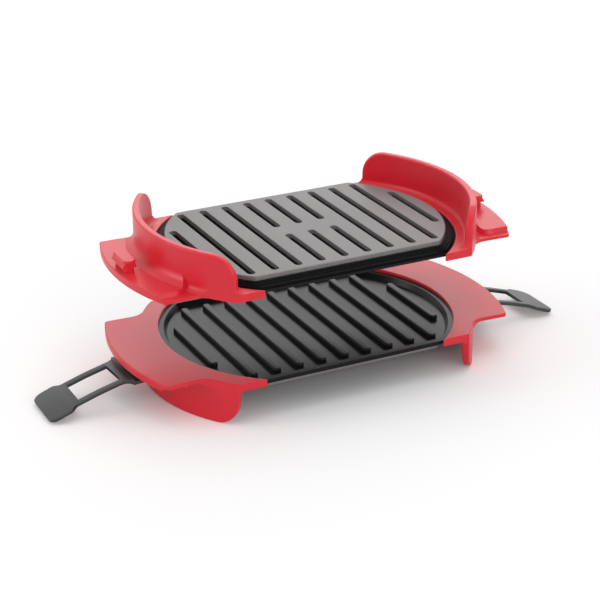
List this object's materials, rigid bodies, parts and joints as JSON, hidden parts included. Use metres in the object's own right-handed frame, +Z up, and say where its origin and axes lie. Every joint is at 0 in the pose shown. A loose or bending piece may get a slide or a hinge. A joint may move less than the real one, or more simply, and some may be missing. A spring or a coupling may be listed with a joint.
{
  "type": "microwave grill",
  "caption": "Two-sided ribbed grill for a microwave oven, held open: coated plates with grey heat pads, red silicone grips with wings and legs, elastic closing straps.",
  "frame": {"origin": "on the table, midway between the two legs, under the middle of the plates", "axes": "+X along the grill from the left strap to the right strap, +Z up; the front edge faces -Y"},
  "size_m": [0.3944, 0.156, 0.1187],
  "materials": {
    "plate_coat": "dark non-stick coat, satin",
    "heat_pad_silicone": "matt with a fine fleck",
    "grip_silicone": "satin, soft sheen",
    "core_nylon": "moulded",
    "rivet_aluminium": "bare",
    "strap_silicone": "matt"
  },
  "bodies": {
    "lower_half": {"lower_plate": "plate_coat", "lower_heat_pad": "heat_pad_silicone", "lower_grip_left": "grip_silicone", "lower_grip_right": "grip_silicone", "lower_core_left": "core_nylon", "lower_core_right": "core_nylon", "lower_rivets_left": "rivet_aluminium", "lower_rivets_right": "rivet_aluminium", "strap_left_root": "strap_silicone", "strap_right_root": "strap_silicone", "strap_pin_left": "core_nylon", "strap_pin_right": "core_nylon"},
    "upper_half": {"upper_plate": "plate_coat", "upper_heat_pad": "heat_pad_silicone", "upper_grip_left": "grip_silicone", "upper_grip_right": "grip_silicone", "upper_core_left": "core_nylon", "upper_core_right": "core_nylon", "upper_rivets_left": "rivet_aluminium", "upper_rivets_right": "rivet_aluminium"},
    "left_strap_band": {"strap_left_band": "strap_silicone"},
    "left_strap_loop": {"strap_left_loop": "strap_silicone"},
    "left_strap_tab": {"strap_left_tab": "strap_silicone"},
    "right_strap_band": {"strap_right_band": "strap_silicone"},
    "right_strap_loop": {"strap_right_loop": "strap_silicone"},
    "right_strap_tab": {"strap_right_tab": "strap_silicone"}
  },
  "joints": [
    {"name": "upper_close", "type": "slide", "parent": "lower_half", "child": "upper_half", "axis": [0, 0, -1], "range_m": [-0.06, 0.0572]},
    {"name": "strap_left_raise", "type": "hinge", "parent": "lower_half", "child": "left_strap_band", "pos_m": [-0.1425, 0, 0.0193], "axis": [0, 1, 0], "range_deg": [0, 104]},
    {"name": "strap_left_fold", "type": "hinge", "parent": "left_strap_band", "child": "left_strap_loop", "pos_m": [-0.16074, 0, 0.01475], "axis": [0, 1, 0], "range_deg": [0, 93.5]},
    {"name": "strap_left_tab_lift", "type": "hinge", "parent": "left_strap_loop", "child": "left_strap_tab", "pos_m": [-0.17743, 0, 0.00949], "axis": [0, 1, 0], "range_deg": [-87.5, 0]},
    {"name": "strap_right_raise", "type": "hinge", "parent": "lower_half", "child": "right_strap_band", "pos_m": [0.1425, 0, 0.0193], "axis": [0, -1, 0], "range_deg": [0, 104]},
    {"name": "strap_right_fold", "type": "hinge", "parent": "right_strap_band", "child": "right_strap_loop", "pos_m": [0.16074, 0, 0.01475], "axis": [0, -1, 0], "range_deg": [0, 93.5]},
    {"name": "strap_right_tab_lift", "type": "hinge", "parent": "right_strap_loop", "child": "right_strap_tab", "pos_m": [0.17743, 0, 0.00949], "axis": [0, -1, 0], "range_deg": [-87.5, 0]}
  ],
  "couplings": [
    {"joint": "strap_left_fold", "follows": "strap_left_raise", "ratio": 0.899},
    {"joint": "strap_left_tab_lift", "follows": "strap_left_raise", "ratio": -0.8413},
    {"joint": "strap_right_fold", "follows": "strap_right_raise", "ratio": 0.899},
    {"joint": "strap_right_tab_lift", "follows": "strap_right_raise", "ratio": -0.8413}
  ]
}
